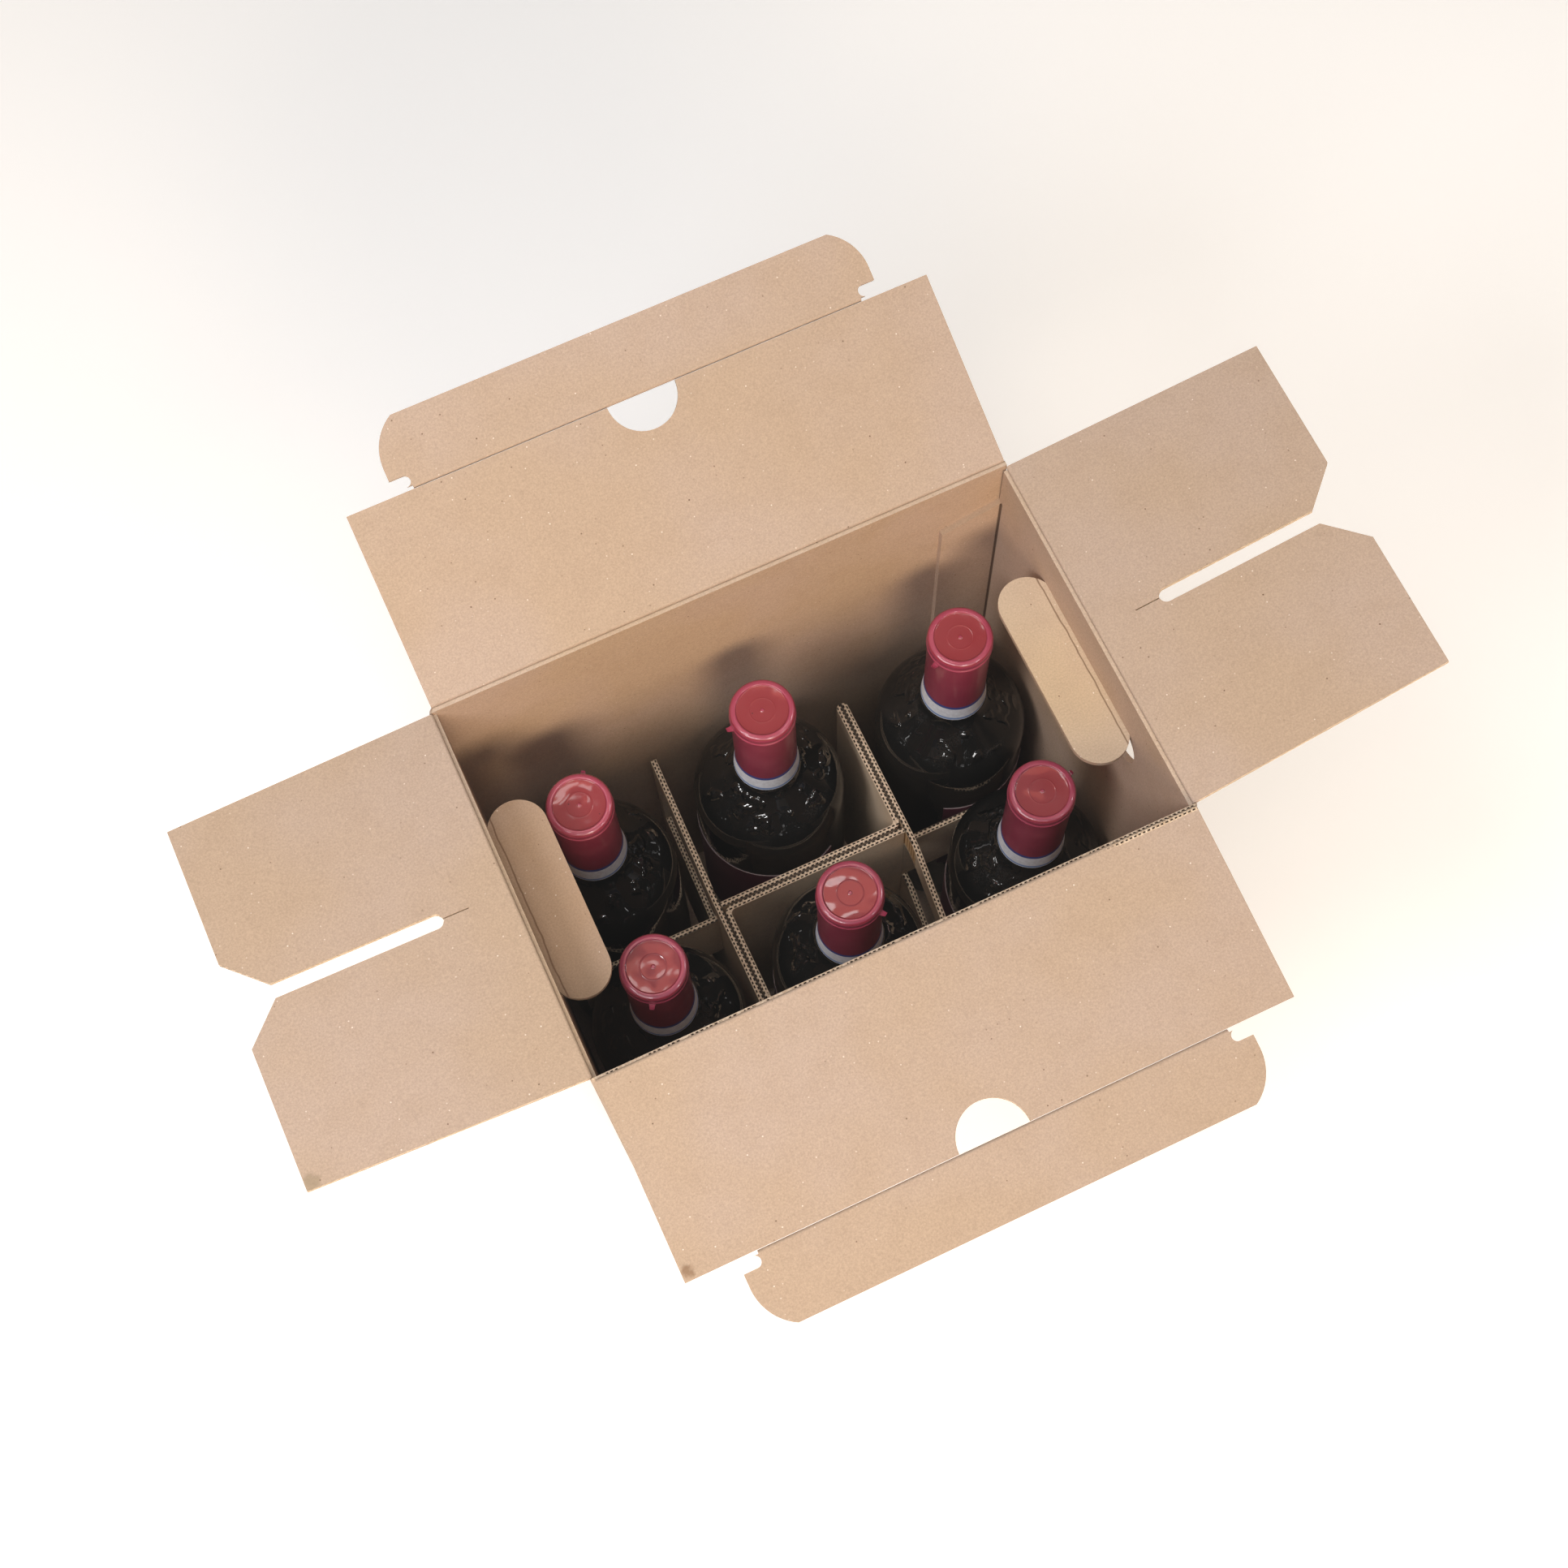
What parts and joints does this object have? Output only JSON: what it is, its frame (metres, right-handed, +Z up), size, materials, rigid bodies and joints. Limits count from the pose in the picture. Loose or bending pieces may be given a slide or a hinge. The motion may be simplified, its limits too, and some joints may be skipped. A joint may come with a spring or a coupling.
{
  "type": "bottle shipping box",
  "caption": "Open-topped corrugated shipping box with tuck-in lid flaps, hand holes and a folded divider, packed with sealed bottles that stand upright in their cells.",
  "frame": {"origin": "centre of the base, on the surface that the box stands on", "axes": "+X along the long side, +Y towards the back long flap, +Z up"},
  "size_m": [0.5379, 0.4289, 0.4122],
  "materials": {
    "board": "brown kraft corrugated board, matt",
    "bottle_glass": "near-black green bottle glass, polished",
    "capsule_red": "crimson heat-shrunk capsule, satin",
    "band_paper": "pale paper band with a blue border",
    "label_paper": "dark wine-red coated paper"
  },
  "bodies": {
    "carton": {"carton": "board", "divider_left": "board", "divider_right": "board", "bottle_back_left": "bottle_glass", "capsule_back_left": "capsule_red", "neck_band_back_left": "band_paper", "label_back_left": "label_paper", "bottle_back_middle": "bottle_glass", "capsule_back_middle": "capsule_red", "neck_band_back_middle": "band_paper", "label_back_middle": "label_paper", "bottle_back_right": "bottle_glass", "capsule_back_right": "capsule_red", "neck_band_back_right": "band_paper", "label_back_right": "label_paper", "bottle_front_left": "bottle_glass", "capsule_front_left": "capsule_red", "neck_band_front_left": "band_paper", "label_front_left": "label_paper", "bottle_front_middle": "bottle_glass", "capsule_front_middle": "capsule_red", "neck_band_front_middle": "band_paper", "label_front_middle": "label_paper", "bottle_front_right": "bottle_glass", "capsule_front_right": "capsule_red", "neck_band_front_right": "band_paper", "label_front_right": "label_paper"},
    "flap_back": {"flap_back": "board"},
    "flap_front": {"flap_front": "board"},
    "flap_left": {"flap_left": "board"},
    "flap_right": {"flap_right": "board"},
    "tuck_strip_back": {"tuck_strip_back": "board"},
    "tuck_strip_front": {"tuck_strip_front": "board"}
  },
  "joints": [
    {"name": "flap_back_hinge", "type": "hinge", "parent": "carton", "child": "flap_back", "pos_m": [0, 0.0945, 0.362], "axis": [1, 0, 0], "range_deg": [-68, 157]},
    {"name": "flap_front_hinge", "type": "hinge", "parent": "carton", "child": "flap_front", "pos_m": [0, -0.0945, 0.362], "axis": [-1, 0, 0], "range_deg": [-38, 187]},
    {"name": "flap_left_hinge", "type": "hinge", "parent": "carton", "child": "flap_left", "pos_m": [-0.145, 0, 0.3587], "axis": [0, 1, 0], "range_deg": [-48, 177]},
    {"name": "flap_right_hinge", "type": "hinge", "parent": "carton", "child": "flap_right", "pos_m": [0.145, 0, 0.3587], "axis": [0, -1, 0], "range_deg": [-56, 169]},
    {"name": "tuck_strip_back_fold", "type": "hinge", "parent": "flap_back", "child": "tuck_strip_back", "pos_m": [0, 0.17988, 0.39824], "axis": [1, 0, 0], "range_deg": [-39.5, 90.5]},
    {"name": "tuck_strip_front_fold", "type": "hinge", "parent": "flap_front", "child": "tuck_strip_front", "pos_m": [0, -0.18656, 0.3507], "axis": [-1, 0, 0], "range_deg": [-18.8, 90.5]}
  ],
  "couplings": [
    {"joint": "tuck_strip_back_fold", "follows": "flap_back_hinge", "ratio": 0.57325},
    {"joint": "tuck_strip_front_fold", "follows": "flap_front_hinge", "ratio": 0.48128}
  ]
}
